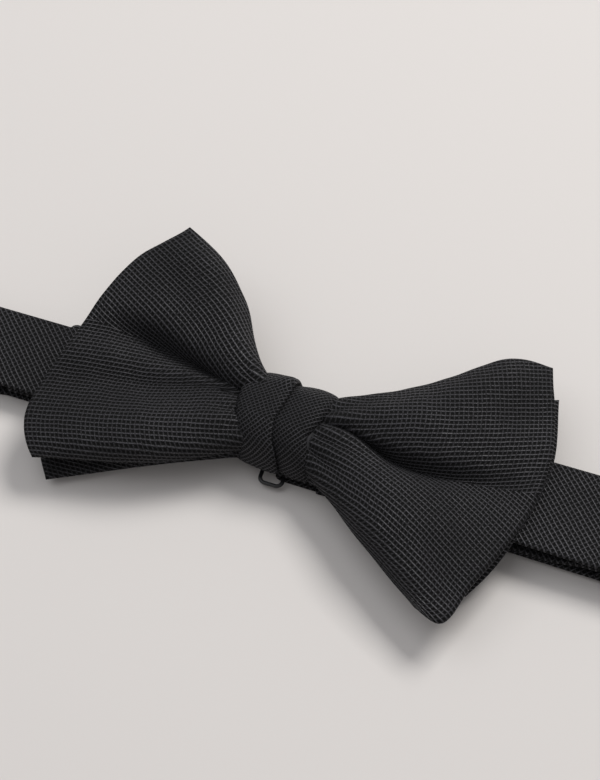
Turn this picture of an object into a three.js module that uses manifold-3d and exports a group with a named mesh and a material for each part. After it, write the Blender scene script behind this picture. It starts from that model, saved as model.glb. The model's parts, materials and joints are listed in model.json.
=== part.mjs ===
// A pre-tied dress bow tie lying face up on a table, its neck band unhooked and folded under the bow.
// X runs along the neck band, Y away from the wearer's chin side of the bow, Z up. Millimetres.
import * as THREE from "three";
import { mergeVertices } from "three/addons/utils/BufferGeometryUtils.js";
import Module from "manifold-3d";

const wasm = await Module();
wasm.setup();

// ---- Driving dimensions ----
const clothGap = 0.2; // air between two layers of cloth
const runGap = 0.22; // running gap of a strap or wire in its seat

// Neck band: a flat tube of cloth with an interlining strip inside, folded under at both ends.
const foldX = 98; // from the middle of the band to the start of each end fold
const foldReach = 3.1; // an end fold bulges this far beyond it
const bandPly = 1.2; // thickness of the band
const bandWall = 0.3; // cloth of the band
const bandHalfWidth = 10.6; // at the bow
const bandTaper = 0.0105; // the half width grows by this much for each millimetre to the right
const runHeadroom = 1.16; // the run that shows clears the turned ends under it by this much
const stitchRoom = 0.57; // and on the right, the stitched end at the slider by this much
const knotDrop = 0.75; // the knot draws it down by this much from its height on the right
const humpRamp = 10; // length of its rise to the knot on the left
const bandSqueeze = 1.2; // each edge of the band is drawn in by this much inside the knot
const bandStep = 2.5; // length of each facet of a strap

// Bow: two butterfly strips, each of a face, an interlining and a back, gathered in the middle.
const bowX = -1.5; // the bow's middle, from the middle of the band
const bowY = -3.4;
const bowTurn = THREE.MathUtils.degToRad(-1.83); // the bow sits a little turned on the band
const bowPly = 0.5; // thickness of each layer of the bow
const gather = 1.3; // layers are this much thicker where they are gathered
const waistHalfLength = 11; // the gathered middle, along X
const waistHalfHeight = 7; // and across the band
const waistMidY = 2.2;
const liningInset = 0.94; // an interlining ends this share of the way to the bow's edges

// Knot: a strip of cloth with its own interlining, wrapped round the gathers and the band.
const knotWidth = 18.6;
const knotCloth = 0.9;
const knotLining = 0.5;
const threadSize = 0.5;

// Hardware: coated steel wire and strip.
const wire = 1.0;
const ringHalfLength = 13; // across the band
const ringCorner = 2.6; // outer corner radius of a ring
const hookRingLength = 6.4; // along the band
const eyeRingLength = 8.4;
const hookClearance = 0.975; // from the hook's folded end to the knot
const hookReach = 16; // from the ring to the tip of the hook
const hookWidth = 8;
const hookThroat = 1.25; // height of the slot that the eye's wire lies in
const hookReturn = 6; // length of the part that is folded back
const eyeX = -55.2; // middle of the eye's ring
const sliderFromFold = 12; // middle bar of the slider, from the right end fold
const sliderLength = 13;
const loopLength = 8; // from a wire to the end of the strap sewn round it
const bartackLength = 1.4;
const sliderTravel = 60; // how far the slider runs towards the hook
const endInset = 0.4; // a turned end is narrower than the band by this much at each edge
const wireSeat = 0.3; // a square wire sits this far inside the round of a turned strap

// ---- Values worked out from them ----
const sliderX = foldX - sliderFromFold;
const hookRound = hookThroat / 2 + wire; // outer radius of the hook's bend
const hookTipX = bowX - knotWidth / 2 - hookClearance - hookReturn - hookRound;
const hookX = hookTipX + hookReach + hookRingLength / 2; // middle of the hook's ring
const slack = bandPly + runGap;
const outerRunZ = wire + runGap; // the outer run lies over the slider's side bars
const turnMidZ = slack + wire / 2; // wire of a ring in a strap end that lies on the table
const middleBarZ = outerRunZ + bandPly + runGap + slack + wire / 2;
const loopHalf = wire / 2 + slack; // half the thickness of a strap end sewn round a wire
const sliderHalf = bandHalfWidth + bandTaper * sliderX + 2 * clothGap;
const leftRunZ = 2 * loopHalf + runHeadroom; // underside of the front run, on the left
const rightRunZ = middleBarZ + loopHalf + stitchRoom; // on the right, over the slider's path
const knotRunZ = rightRunZ - knotDrop; // and inside the knot
const rearWaistZ = knotRunZ + bandPly + 2 * clothGap + threadSize;
const layerRise = bowPly * gather + clothGap; // from one gathered layer to the next
const frontWaistZ = rearWaistZ + 3 * layerRise;
const waistTopZ = frontWaistZ + 3 * layerRise - clothGap;

const colours = { cloth: 0x18181b, lining: 0x2a2a2c, thread: 0x101012, metal: 0x1b1b1c };
const cloth = () => new THREE.MeshStandardMaterial({ color: colours.cloth, roughness: 0.75 });
const lining = () => new THREE.MeshStandardMaterial({ color: colours.lining, roughness: 0.95 });
const thread = () => new THREE.MeshStandardMaterial({ color: colours.thread, roughness: 0.6 });
const metal = () =>
  new THREE.MeshStandardMaterial({ color: colours.metal, roughness: 0.4, metalness: 0.8 });

const tie = new THREE.Group();
const bow = new THREE.Group();
bow.position.set(bowX, bowY, 0);
bow.rotation.z = bowTurn;
tie.add(bow);

function place(name, geometry, material, group = tie) {
  const mesh = new THREE.Mesh(geometry, material);
  mesh.name = name;
  group.add(mesh);
}

// ---- Solids ----
function bare(geometry) {
  geometry.deleteAttribute("normal");
  geometry.deleteAttribute("uv");
  return mergeVertices(geometry, 1e-4);
}

function solid(geometry) {
  const merged = bare(geometry);
  const vertProperties = new Float32Array(merged.attributes.position.array);
  const triVerts = new Uint32Array(merged.index.array);
  return new wasm.Manifold(new wasm.Mesh({ numProp: 3, vertProperties, triVerts }));
}

function geometryOf(made) {
  const mesh = made.getMesh();
  const geometry = new THREE.BufferGeometry();
  geometry.setAttribute("position", new THREE.BufferAttribute(mesh.vertProperties, 3));
  geometry.setIndex(new THREE.BufferAttribute(mesh.triVerts, 1));
  return geometry;
}

// A box whose points are moved by map(s, t, w), each from 0 to 1 along X, Y and Z.
function bentBox(alongX, alongY, map) {
  const geometry = bare(new THREE.BoxGeometry(1, 1, 1, alongX, alongY, 1));
  const at = geometry.attributes.position;
  for (let i = 0; i < at.count; i++) {
    const p = map(at.getX(i) + 0.5, at.getY(i) + 0.5, at.getZ(i) + 0.5);
    at.setXYZ(i, p.x, p.y, p.z);
  }
  return geometry;
}

// An outline in the X-Z plane, extruded along Y from -half to half.
function acrossBand(shape, half) {
  const geometry = new THREE.ExtrudeGeometry(shape, {
    depth: 2 * half,
    bevelEnabled: false,
    curveSegments: 6,
  });
  return geometry.rotateX(Math.PI / 2).translate(0, half, 0);
}

// An outline in the Y-Z plane, extruded along X from low to high.
function alongBand(shape, low, high) {
  const geometry = new THREE.ExtrudeGeometry(shape, {
    depth: high - low,
    bevelEnabled: false,
    curveSegments: 5,
  });
  const turned = new THREE.Matrix4().makeBasis(
    new THREE.Vector3(0, 1, 0),
    new THREE.Vector3(0, 0, 1),
    new THREE.Vector3(1, 0, 0),
  );
  return geometry.applyMatrix4(turned).translate(low, 0, 0);
}

const block = (length, width, height, x, y, z) =>
  new THREE.BoxGeometry(length, width, height).translate(x, y, z);

// ---- Neck band ----
const smooth = THREE.MathUtils.smoothstep;
const halfWidthAt = (x) => bandHalfWidth + bandTaper * x;

const knotEdge = knotWidth / 2 + bandStep;
const sliderLoopEnd = sliderX - loopLength - clothGap;

// 1 inside the knot, falling to 0 along a rise on each side.
const insideKnot = (x) => 1 - smooth(Math.abs(x - bowX), knotEdge, knotEdge + humpRamp);
const pastKnot = (x) => smooth(x, bowX + knotEdge, sliderLoopEnd - sliderTravel);
const frontFloor = (x) =>
  x < bowX
    ? leftRunZ + (knotRunZ - leftRunZ) * insideKnot(x)
    : knotRunZ + (rightRunZ - knotRunZ) * pastKnot(x);
const frontHalfAt = (x) => halfWidthAt(x) - bandSqueeze * insideKnot(x);

// A stretch of strap from low to high, its underside at floor(x), narrowed and thinned by inset.
function strap(low, high, floor, halfAt, inset) {
  const steps = Math.ceil((high - low) / bandStep);
  return bentBox(steps, 2, (s, t, w) => {
    const x = low + (high - low) * s;
    const half = halfAt(x) - inset;
    return { x, y: (2 * t - 1) * half, z: floor(x) + inset + w * (bandPly - 2 * inset) };
  });
}

// The same stretch as a tube of cloth, open at both ends, and the strip of interlining inside it.
function linedStrap(name, low, high, floor, halfAt = halfWidthAt) {
  const outer = solid(strap(low, high, floor, halfAt, 0));
  const bore = solid(strap(low - 1, high + 1, floor, halfAt, bandWall));
  place(name + "_cloth", geometryOf(outer.subtract(bore)), cloth());
  const inset = bandWall + runGap;
  place(name + "_interlining", strap(low + inset, high - inset, floor, halfAt, inset), lining());
}

linedStrap("band_front", -foldX + runGap, foldX - runGap, frontFloor, frontHalfAt);

// A strap end turned round a wire at x = 0, z = 0, with both plies running towards side.
function wireLoop(side, half) {
  const inner = loopHalf - bandPly;
  const outline = new THREE.Shape();
  outline.absarc(-wireSeat, 0, loopHalf, Math.PI / 2, (3 * Math.PI) / 2, false);
  outline.lineTo(loopLength, -loopHalf);
  outline.lineTo(loopLength, -inner);
  outline.absarc(-wireSeat, 0, inner, (3 * Math.PI) / 2, Math.PI / 2, true);
  outline.lineTo(loopLength, inner);
  outline.lineTo(loopLength, loopHalf);
  outline.closePath();
  const geometry = acrossBand(outline, half);
  return side > 0 ? geometry : geometry.rotateZ(Math.PI);
}

// Rows of zigzag stitching over the end of a turned strap.
const bartack = (x, z, half) =>
  block(bartackLength, 2 * half * 0.85, threadSize - 0.1, x, 0, z + threadSize / 2);

// Left: the band ends in the eye.
const eyeBarX = eyeX - eyeRingLength / 2 + wire / 2;
const leftEnd = eyeBarX - loopLength - clothGap;
linedStrap("left_return", -foldX + runGap, leftEnd, () => 0);
const leftLoopHalf = halfWidthAt(eyeBarX) - endInset;
place("left_end_loop", wireLoop(-1, leftLoopHalf).translate(eyeBarX, 0, turnMidZ), cloth());
const leftTackX = eyeBarX - loopLength + bartackLength;
place("left_loop_bartack", bartack(leftTackX, turnMidZ + loopHalf, leftLoopHalf), thread());

// Right: the outer run turns round the hook's wire and comes back to the slider.
const hookBarX = hookX + hookRingLength / 2 - wire / 2;
const turnEnd = hookBarX + loopLength + clothGap;
const sliderLow = sliderX - sliderTravel - sliderLength / 2;
const ease = (x, low, high) => smooth(x, turnEnd, sliderLow) * (high - low) + low;
linedStrap("right_outer_run", turnEnd, foldX - runGap, (x) => ease(x, 0, outerRunZ));
const turnHalf = halfWidthAt(hookBarX) - endInset;
place("band_turn", wireLoop(1, turnHalf).translate(hookBarX, 0, turnMidZ), cloth());

const innerLow = turnMidZ + loopHalf - bandPly;
const innerHigh = middleBarZ + loopHalf - bandPly;
linedStrap("inner_run", turnEnd, sliderLoopEnd, (x) => ease(x, innerLow, innerHigh));
const sliderLoopHalf = halfWidthAt(sliderX) - endInset;
place("slider_end_loop", wireLoop(-1, sliderLoopHalf).translate(sliderX, 0, middleBarZ), cloth());
const sliderTackX = sliderX - loopLength + bartackLength;
place("slider_bartack", bartack(sliderTackX, middleBarZ + loopHalf, sliderLoopHalf), thread());

// The cloth that turns from the front run down to the run under it, at either end.
function endFold(side, low, high) {
  const outline = new THREE.Shape();
  const middle = (low + high) / 2;
  const outer = (high - low) / 2;
  const quarter = Math.PI / 2;
  outline.absellipse(0, middle, foldReach, outer, quarter, -quarter, true, 0);
  outline.absellipse(0, middle, foldReach - bandPly, outer - bandPly, -quarter, quarter, false, 0);
  outline.closePath();
  const geometry = acrossBand(outline, halfWidthAt(side * foldX));
  if (side < 0) geometry.rotateZ(Math.PI);
  return geometry.translate(side * foldX, 0, 0);
}
const rightTop = frontFloor(foldX) + bandPly;
place("left_end_fold", endFold(-1, 0, leftRunZ + bandPly), cloth());
place("right_end_fold", endFold(1, outerRunZ, rightTop), cloth());

// ---- Hardware ----
// A frame of wire lying flat, its rounded ends pointing across the band.
function ring(length, halfLength) {
  const round = (inset, path) => {
    const r = ringCorner - inset;
    const cornerX = length / 2 - ringCorner;
    const cornerY = halfLength - ringCorner;
    path.absarc(cornerX, cornerY, r, 0, Math.PI / 2, false);
    path.absarc(-cornerX, cornerY, r, Math.PI / 2, Math.PI, false);
    path.absarc(-cornerX, -cornerY, r, Math.PI, (3 * Math.PI) / 2, false);
    path.absarc(cornerX, -cornerY, r, (3 * Math.PI) / 2, 2 * Math.PI, false);
    path.closePath();
    return path;
  };
  const shape = round(0, new THREE.Shape());
  shape.holes.push(round(wire, new THREE.Path()));
  const geometry = new THREE.ExtrudeGeometry(shape, {
    depth: wire,
    bevelEnabled: false,
    curveSegments: 8,
  });
  return geometry.translate(0, 0, -wire / 2);
}

place("eye_ring", ring(eyeRingLength, ringHalfLength).translate(eyeX, 0, turnMidZ), metal());

// The hook: a ring for the strap, and a tongue whose end is folded back over a slot.
function hookTongue() {
  const root = -hookRingLength / 2 + wire / 2;
  const tip = -hookRingLength / 2 - hookReach;
  const outer = hookRound;
  const midZ = hookThroat / 2 + wire / 2;
  const outline = new THREE.Shape();
  outline.moveTo(root, -wire / 2);
  outline.lineTo(root, wire / 2);
  outline.lineTo(tip + outer, wire / 2);
  outline.absarc(tip + outer, midZ, hookThroat / 2, (3 * Math.PI) / 2, Math.PI / 2, true);
  outline.lineTo(tip + outer + hookReturn, midZ + hookThroat / 2);
  outline.lineTo(tip + outer + hookReturn, midZ + outer);
  outline.lineTo(tip + outer, midZ + outer);
  outline.absarc(tip + outer, midZ, outer, Math.PI / 2, (3 * Math.PI) / 2, false);
  outline.closePath();
  return acrossBand(outline, hookWidth / 2);
}
const hook = solid(ring(hookRingLength, ringHalfLength)).add(solid(hookTongue()));
place("hook", geometryOf(hook).translate(hookX, 0, turnMidZ), metal());

// The slider: a flat frame under the outer run, with a raised middle bar that carries the strap end.
function slider() {
  const frameHalf = sliderHalf + wire;
  const side = block(wire, 2 * frameHalf, wire, 0, 0, wire / 2);
  const end = block(sliderLength, wire, wire, 0, 0, wire / 2);
  const post = block(wire, wire, middleBarZ, 0, 0, middleBarZ / 2);
  const bar = block(wire, 2 * frameHalf, wire, 0, 0, middleBarZ);
  let frame = solid(bar);
  for (const turn of [-1, 1]) {
    const endY = turn * (sliderHalf + wire / 2);
    frame = frame.add(solid(side.clone().translate((turn * (sliderLength - wire)) / 2, 0, 0)));
    frame = frame.add(solid(end.clone().translate(0, endY, 0)));
    frame = frame.add(solid(post.clone().translate(0, endY, 0)));
  }
  return geometryOf(frame);
}
place("adjuster_slider", slider().translate(sliderX, 0, 0), metal());

// ---- Bow ----
const point = (x, y, z) => new THREE.Vector3(x, y, z);

// Outer edges, from the near corner to the far one, with heights from the strip's own waist, and
// where each wing's pleat lies.
const frontEdges = {
  left: {
    edge: [point(-53, -25.5, -1.4), point(-58.5, -13.5, 0), point(-54, 8, 3), point(-38.4, 39.4, 8)],
    pleat: 0.25,
  },
  right: {
    edge: [point(48, -31, -2), point(54.5, -12, 0.8), point(61, 8, 2.1), point(53, 37, 3)],
    pleat: 0.1,
  },
};
const rearEdges = {
  left: {
    edge: [point(-50, -27, -8.3), point(-55, -14, -1.8), point(-53, 14, 0), point(-37, 36, -8.3)],
    pleat: 0,
  },
  right: {
    edge: [point(52, -21, -8.3), point(57, -9, 0.5), point(60, 16, 1.1), point(55, 33, -8.3)],
    pleat: 0,
  },
};

// A point of a wing, u from the gathers to the outer edge, v from its near edge to its far edge. It
// leaves the knot level and turns down or up towards its edge, the later the larger droop is.
function wingPoint(wing, side, waistZ, { valley, crown, droop }, u, v) {
  const outer = wing.curve.getPoint((v + 1) / 2);
  const spread = u * (0.8 + 0.2 * u);
  const x = side * waistHalfLength + (outer.x - side * waistHalfLength) * u;
  const waistY = waistMidY + v * waistHalfHeight;
  const y = waistY + (outer.y - waistY) * spread;
  const swell = Math.sin(Math.PI * Math.min(1, 1.15 * u));
  const dip = Math.exp(-(((v - wing.pleat) / 0.3) ** 2));
  const z = waistZ + outer.z * u ** droop + swell * (crown * (1 - v * v) - valley * dip);
  return { x, y, z };
}

const wingSteps = 15;
const waistSteps = 4;
const wingShare = wingSteps / (2 * wingSteps + waistSteps);

// One layer of a butterfly strip: both wings and the gathers between them.
function bowLayer(edges, waistZ, form, level, share) {
  for (const wing of [edges.left, edges.right]) wing.curve = new THREE.CatmullRomCurve3(wing.edge);
  return bentBox(2 * wingSteps + waistSteps, 10, (s, t, w) => {
    const v = (2 * t - 1) * share;
    const inLeft = s < wingShare;
    const inRight = s > 1 - wingShare;
    const u = Math.max(0, 1 - Math.min(s, 1 - s) / wingShare) * share;
    const thick = bowPly * (1 + (gather - 1) * (1 - u));
    const lift = (level + w) * thick + level * clothGap;
    if (inLeft || inRight) {
      const wing = inLeft ? edges.left : edges.right;
      const p = wingPoint(wing, inLeft ? -1 : 1, waistZ, form, u, v);
      return { x: p.x, y: p.y, z: p.z + lift };
    }
    const x = waistHalfLength * (2 * ((s - wingShare) / (1 - 2 * wingShare)) - 1);
    return { x, y: waistMidY + v * waistHalfHeight, z: waistZ + lift };
  });
}

function bowStrip(name, edges, waistZ, form) {
  const layer = (level, share) => bowLayer(edges, waistZ, form, level, share);
  place(name + "_back", layer(0, 1), cloth(), bow);
  place(name + "_interlining", layer(1, liningInset), lining(), bow);
  place(name + "_face", layer(2, 1), cloth(), bow);
}
bowStrip("rear_bow", rearEdges, rearWaistZ, { valley: 0, crown: 0.5, droop: 3.6 });
bowStrip("front_bow", frontEdges, frontWaistZ, { valley: 2.2, crown: 3.2, droop: 1.5 });

// ---- Knot ----
// A rounded outline round the gathers and, lower down, the wider band; grow moves it outwards.
function knotOutline(grow, Kind = THREE.Shape) {
  const bandFar = frontHalfAt(bowX) + clothGap + grow;
  const gatherNear = bowY + waistMidY - waistHalfHeight - threadSize - 4 * clothGap - grow;
  const near = Math.min(-bandFar, gatherNear);
  const gatherFar = bowY + waistMidY + waistHalfHeight + threadSize + 3 * clothGap + grow;
  const low = knotRunZ - clothGap - grow;
  const shoulder = knotRunZ + bandPly + clothGap + grow / 2;
  const high = waistTopZ + 2 * clothGap + threadSize + grow;
  const corner = clothGap + grow / 2;
  const outline = new Kind();
  outline.moveTo(near + corner, low);
  outline.lineTo(bandFar - corner, low);
  outline.quadraticCurveTo(bandFar, low, bandFar, (low + shoulder) / 2);
  outline.lineTo(bandFar, shoulder);
  outline.quadraticCurveTo(gatherFar + 2, high, gatherFar - 0.8, high);
  outline.lineTo(near + 0.8 + grow, high);
  outline.quadraticCurveTo(near, high, near, high - 0.8 - grow);
  outline.lineTo(near, (low + shoulder) / 2);
  outline.quadraticCurveTo(near, low, near + corner, low);
  return outline;
}

function knotRing(inside, thickness, halfWidth) {
  const shape = knotOutline(inside + thickness);
  shape.holes.push(knotOutline(inside, THREE.Path));
  return alongBand(shape, bowX - halfWidth, bowX + halfWidth);
}
place("knot_interlining", knotRing(0, knotLining, knotWidth / 2 - 1), lining());
place("knot_wrap", knotRing(knotLining + clothGap, knotCloth, knotWidth / 2), cloth());

// Thread wound round the gathers under the knot, and the stitches that close the knot behind.
function gatherThread() {
  const outline = (grow, Kind) => {
    const path = new Kind();
    const near = waistMidY - waistHalfHeight - clothGap - grow;
    const far = waistMidY + waistHalfHeight + clothGap + grow;
    const low = rearWaistZ - clothGap - grow;
    const high = waistTopZ + clothGap + grow;
    path.moveTo(near, low);
    path.lineTo(far, low);
    path.lineTo(far, high);
    path.lineTo(near, high);
    path.closePath();
    return path;
  };
  const shape = outline(threadSize, THREE.Shape);
  shape.holes.push(outline(0, THREE.Path));
  return alongBand(shape, -1.5, 1.5);
}
place("gather_thread", gatherThread(), thread(), bow);

const knotBottom = knotRunZ - 2 * clothGap - knotLining - knotCloth;
const stitchX = bowX - knotWidth / 4 - 1;
const knotStitch = block(1.2, 12, threadSize - 0.1, stitchX, 0, knotBottom - threadSize / 2);
place("knot_closing_stitch", knotStitch, thread());

// ---- Frame: origin under the middle of the whole, on the table ----
const extent = new THREE.Box3().setFromObject(tie);
const middle = extent.getCenter(new THREE.Vector3());
const part = new THREE.Group();
tie.position.set(-middle.x, -middle.y, -extent.min.z);
part.add(tie);

export default part;
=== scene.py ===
"""A pre-tied black dress bow tie on a pale table: its cloth, thread and wire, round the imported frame."""

import json
import math

import bmesh
import bpy
import numpy as np
from mathutils import Matrix, Vector


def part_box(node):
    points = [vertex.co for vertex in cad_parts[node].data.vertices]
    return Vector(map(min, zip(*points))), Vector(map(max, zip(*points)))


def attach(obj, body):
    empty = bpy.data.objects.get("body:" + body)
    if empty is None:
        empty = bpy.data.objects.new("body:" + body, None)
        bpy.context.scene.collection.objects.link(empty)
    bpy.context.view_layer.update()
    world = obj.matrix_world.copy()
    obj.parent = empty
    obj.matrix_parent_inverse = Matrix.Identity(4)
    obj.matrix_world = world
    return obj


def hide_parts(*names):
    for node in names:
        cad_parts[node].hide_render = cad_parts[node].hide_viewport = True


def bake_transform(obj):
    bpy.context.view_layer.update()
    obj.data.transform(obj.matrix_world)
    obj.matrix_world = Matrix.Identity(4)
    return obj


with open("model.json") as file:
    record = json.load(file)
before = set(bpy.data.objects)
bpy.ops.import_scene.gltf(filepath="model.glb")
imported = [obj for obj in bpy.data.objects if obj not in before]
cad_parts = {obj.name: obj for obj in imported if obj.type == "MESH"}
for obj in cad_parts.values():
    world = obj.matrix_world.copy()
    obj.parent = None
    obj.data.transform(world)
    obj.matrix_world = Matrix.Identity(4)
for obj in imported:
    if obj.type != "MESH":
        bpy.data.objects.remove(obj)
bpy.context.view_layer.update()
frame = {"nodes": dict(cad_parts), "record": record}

MM = 0.001

# ---- Places taken from the frame ----
knot_low, knot_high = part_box("knot_wrap")
KNOT_X = (knot_low.x + knot_high.x) / 2
BAND_Y = (knot_low.y + knot_high.y) / 2
BOW_TURN = math.radians(-1.83)  # the bow lies turned a little on its band
BOW_RIGHT = 1.5 * MM  # from the middle of the knot's node to the origin of the bow's own axes
BOW_NEAR = 3.4 * MM
BOW_FOOT = Vector((KNOT_X + BOW_RIGHT, BAND_Y - BOW_NEAR, 0))


def bow_point(p):
    """Millimetres on the bow's own axes to metres in the row frame, for an array of points."""
    p = np.asarray(p, float)
    c, s = math.cos(BOW_TURN), math.sin(BOW_TURN)
    out = np.empty_like(p)
    out[..., 0] = (p[..., 0] * c - p[..., 1] * s) * MM + BOW_FOOT.x
    out[..., 1] = (p[..., 0] * s + p[..., 1] * c) * MM + BOW_FOOT.y
    out[..., 2] = p[..., 2] * MM
    return out


# ---- Camera, light and table ----
AZIMUTH = math.radians(20.5) + BOW_TURN
ELEVATION = math.radians(62.0)
DISTANCE = 0.55
SPAN = 141.18 * MM  # width of the picture at that distance
SENSOR = 36
AIM_RIGHT = 4.0 * MM  # from the bow's foot to the middle of the picture
AIM_UP = 15.3 * MM
RIGHT = Vector((math.cos(AZIMUTH), math.sin(AZIMUTH), 0))
BACK = Vector((  # from the bow towards the camera
    math.sin(AZIMUTH) * math.cos(ELEVATION),
    -math.cos(AZIMUTH) * math.cos(ELEVATION),
    math.sin(ELEVATION),
))
UP = BACK.cross(RIGHT)


def make_camera():
    data = bpy.data.cameras.new("camera")
    data.sensor_fit = "HORIZONTAL"
    data.sensor_width = SENSOR
    data.lens = SENSOR * DISTANCE / SPAN
    data.clip_start = 0.01
    camera = bpy.data.objects.new("camera", data)
    bpy.context.scene.collection.objects.link(camera)
    middle = BOW_FOOT + RIGHT * AIM_RIGHT + UP * AIM_UP
    turn = Matrix((RIGHT, UP, BACK)).transposed().to_4x4()
    camera.matrix_world = Matrix.Translation(middle + BACK * DISTANCE) @ turn
    bpy.context.scene.camera = camera


def area_light(name, place, size, watts, colour):
    """A rectangular light that faces the origin."""
    data = bpy.data.lights.new(name, "AREA")
    data.shape = "RECTANGLE"
    data.size, data.size_y = size
    data.energy = watts
    data.color = colour
    light = bpy.data.objects.new(name, data)
    bpy.context.scene.collection.objects.link(light)
    light.location = place
    light.rotation_euler = (-Vector(place)).to_track_quat("-Z", "Y").to_euler()


def make_lights():
    area_light("window", (0.35, 0.8, 1.0), (0.6, 0.5), 13.2, (1.0, 0.99, 0.97))
    area_light("fill", (-0.6, 0.1, 1.2), (1.2, 1.2), 5.5, (0.95, 0.97, 1.0))
    world = bpy.data.worlds.new("studio")
    world.use_nodes = True
    background = world.node_tree.nodes["Background"]
    background.inputs["Color"].default_value = (0.86, 0.85, 0.86, 1)
    background.inputs["Strength"].default_value = 0.35
    bpy.context.scene.world = world


def new_material(name):
    material = bpy.data.materials.new(name)
    material.use_nodes = True
    tree = material.node_tree
    return material, tree.nodes, tree.links, tree.nodes["Principled BSDF"]


def make_floor():
    bpy.ops.mesh.primitive_plane_add(size=8, location=(0, 0, -0.0001))
    floor = bpy.context.object
    floor.name = "floor"
    material, nodes, links, shader = new_material("pale_paper")
    noise = nodes.new("ShaderNodeTexNoise")
    noise.inputs["Scale"].default_value = 3.0
    ramp = nodes.new("ShaderNodeValToRGB")
    ramp.color_ramp.elements[0].color = (0.67, 0.64, 0.62, 1)
    ramp.color_ramp.elements[1].color = (0.70, 0.67, 0.65, 1)
    links.new(noise.outputs["Fac"], ramp.inputs["Fac"])
    links.new(ramp.outputs["Color"], shader.inputs["Base Color"])
    shader.inputs["Roughness"].default_value = 0.9
    floor.data.materials.append(material)


# ---- Materials ----
WEAVE = 1.06  # millimetres from one thread to the next; UV coordinates are millimetres of cloth


def math_node(nodes, links, operation, *values):
    node = nodes.new("ShaderNodeMath")
    node.operation = operation
    for socket, value in zip(node.inputs, values):
        if isinstance(value, (int, float)):
            socket.default_value = value
        else:
            links.new(value, socket)
    return node.outputs[0]


def noise_node(nodes, links, vector, scale, detail=1.0):
    node = nodes.new("ShaderNodeTexNoise")
    node.inputs["Scale"].default_value = scale
    node.inputs["Detail"].default_value = detail
    links.new(vector, node.inputs["Vector"])
    return node.outputs["Fac"]


def range_node(nodes, links, value, low, high, start=0.0, end=1.0):
    """Takes value from start..end to low..high, smoothly."""
    node = nodes.new("ShaderNodeMapRange")
    node.interpolation_type = "SMOOTHSTEP"
    node.inputs["From Min"].default_value = start
    node.inputs["From Max"].default_value = end
    node.inputs["To Min"].default_value = low
    node.inputs["To Max"].default_value = high
    links.new(value, node.inputs["Value"])
    return node.outputs["Result"]


def cloth_material(name):
    """Open square weave: silk threads both ways round small dark holes, the warp proud of the weft. Its
    colour holds painted shade and painted highlight: near black down in the holes, lighter up to each
    thread's crest.
    """
    material, nodes, links, shader = new_material(name)
    uv = nodes.new("ShaderNodeUVMap")
    uv.uv_map = "cloth"
    mapping = nodes.new("ShaderNodeMapping")
    mapping.inputs["Scale"].default_value = (1 / WEAVE, 1 / WEAVE, 1)
    links.new(uv.outputs["UV"], mapping.inputs["Vector"])
    threads = mapping.outputs["Vector"]
    parts = nodes.new("ShaderNodeSeparateXYZ")
    links.new(threads, parts.inputs["Vector"])
    wander = math_node(nodes, links, "MULTIPLY_ADD", noise_node(nodes, links, threads, 0.3), 0.3, -0.15)
    slub = noise_node(nodes, links, threads, 1.7)

    def thread(axis, half):
        """Height across a set of threads, 1 at their middles; half is half a thread's width in pitches."""
        moved = math_node(nodes, links, "ADD", parts.outputs[axis], wander)
        away = math_node(nodes, links, "PINGPONG", moved, 0.5)
        width = math_node(nodes, links, "MULTIPLY_ADD", slub, 0.16, half - 0.08)
        share = math_node(nodes, links, "DIVIDE", away, width)
        return range_node(nodes, links, share, 1.0, 0.0)

    warp = thread("Y", 0.39)
    weft = thread("X", 0.40)
    weft_low = math_node(nodes, links, "MULTIPLY", weft, 0.72)
    height = math_node(nodes, links, "MAXIMUM", warp, weft_low)

    fibre = range_node(nodes, links, noise_node(nodes, links, threads, 3.4, 2.0), 0.3, 1.6, 0.3, 0.7)
    patch = range_node(nodes, links, noise_node(nodes, links, threads, 0.05), 0.82, 1.15, 0.3, 0.7)
    tone = math_node(nodes, links, "MULTIPLY", fibre, patch)
    # Painted light and shade: the thread height, sharpened, times the random fibre and patch tone. It
    # takes the colour from painted shade in the holes to a painted highlight on the crests, and also sets
    # the roughness.
    tone_and_painted_light = math_node(nodes, links, "MULTIPLY", math_node(nodes, links, "POWER", height, 2.3), tone)

    # A is the painted shade down in the holes; B is the thread colour under the painted highlight on the
    # crests.
    mix = nodes.new("ShaderNodeMix")
    mix.data_type = "RGBA"
    mix.clamp_factor = False
    mix.inputs["A"].default_value = (0.0004, 0.0004, 0.0004, 1)
    mix.inputs["B"].default_value = (0.042, 0.041, 0.046, 1)
    links.new(tone_and_painted_light, mix.inputs["Factor"])
    links.new(mix.outputs["Result"], shader.inputs["Base Color"])

    links.new(range_node(nodes, links, tone_and_painted_light, 0.9, 0.36), shader.inputs["Roughness"])
    shader.inputs["Specular IOR Level"].default_value = 0.22
    shader.inputs["Sheen Weight"].default_value = 0.015
    shader.inputs["Sheen Roughness"].default_value = 0.35
    shader.inputs["Sheen Tint"].default_value = (0.95, 0.95, 1.0, 1)

    bump = nodes.new("ShaderNodeBump")
    bump.inputs["Strength"].default_value = 1.0
    bump.inputs["Distance"].default_value = 0.22 * MM
    links.new(height, bump.inputs["Height"])
    links.new(bump.outputs["Normal"], shader.inputs["Normal"])
    return material


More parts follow.
